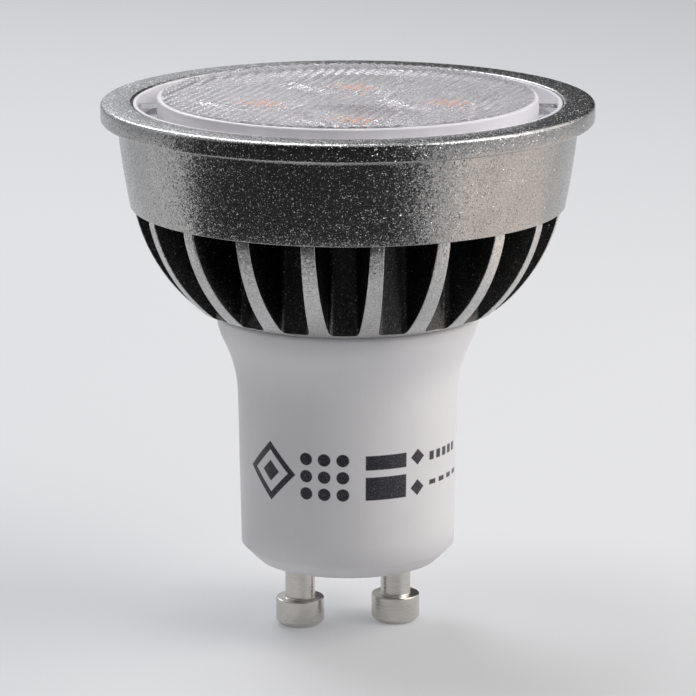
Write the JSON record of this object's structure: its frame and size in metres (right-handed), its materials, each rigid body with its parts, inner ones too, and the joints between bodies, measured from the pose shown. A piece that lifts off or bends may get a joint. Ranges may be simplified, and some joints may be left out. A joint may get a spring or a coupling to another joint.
{
  "type": "led spotlight bulb",
  "caption": "Twist-lock LED spotlight bulb: ribbed cast heat sink with a wide rim, clear micro-lens front, white plastic neck and a two-pin cap.",
  "frame": {"origin": "centre of the cap's seating face, between the two contact pins", "axes": "+Z along the lamp's axis towards the lens; the two contact pins lie on X"},
  "size_m": [0.05, 0.05, 0.0557],
  "materials": {
    "cast_aluminium": "bead-blasted silver casting with a fine sparkling grain",
    "clear_lens": "clear moulded plastic, square micro-lens face, gloss",
    "white_plastic": "white moulded plastic, semi-matte with a faint mould grain",
    "pin_nickel": "nickel-plated turned brass, satin",
    "board_white": "white solder mask on an aluminium board",
    "led_ceramic": "white ceramic LED body",
    "phosphor": "orange-yellow phosphor under clear silicone",
    "thermal_grey": "soft grey heat-conducting sheet",
    "screw_steel": "zinc-plated screw",
    "cover_grey": "pale insulating plastic",
    "lead_white": "white lead insulation",
    "lead_red": "red lead insulation",
    "lead_black": "black lead insulation",
    "board_green": "green solder mask on glass-fibre board",
    "capacitor_sleeve": "dark shrink sleeve on an aluminium can",
    "film_yellow": "yellow wrapped film capacitor",
    "resistor_blue": "blue flame-proof lacquer",
    "ferrite": "dark sintered ferrite",
    "bobbin_black": "black moulded bobbin",
    "copper_wire": "enamelled copper winding",
    "black_epoxy": "black moulding compound"
  },
  "bodies": {
    "root": {"board_screws": "screw_steel", "bridge_rectifier": "black_epoxy", "bulk_capacitor": "capacitor_sleeve", "contact_pin_1": "pin_nickel", "contact_pin_2": "pin_nickel", "driver_board": "board_green", "driver_chip": "black_epoxy", "driver_cover": "cover_grey", "film_capacitor": "film_yellow", "front_lens": "clear_lens", "fusible_resistor": "resistor_blue", "heat_sink": "cast_aluminium", "input_choke": "ferrite", "input_lead_1": "lead_white", "input_lead_2": "lead_white", "led_board": "board_white", "led_body_1": "led_ceramic", "led_body_2": "led_ceramic", "led_body_3": "led_ceramic", "led_body_4": "led_ceramic", "led_emitter_1": "phosphor", "led_emitter_2": "phosphor", "led_emitter_3": "phosphor", "led_emitter_4": "phosphor", "neck_housing": "white_plastic", "neck_screws": "screw_steel", "output_capacitor": "capacitor_sleeve", "output_diode": "black_epoxy", "output_lead_black": "lead_black", "output_lead_red": "lead_red", "thermal_pad": "thermal_grey", "transformer_bobbin": "bobbin_black", "transformer_core": "ferrite", "transformer_winding": "copper_wire"}
  },
  "joints": []
}
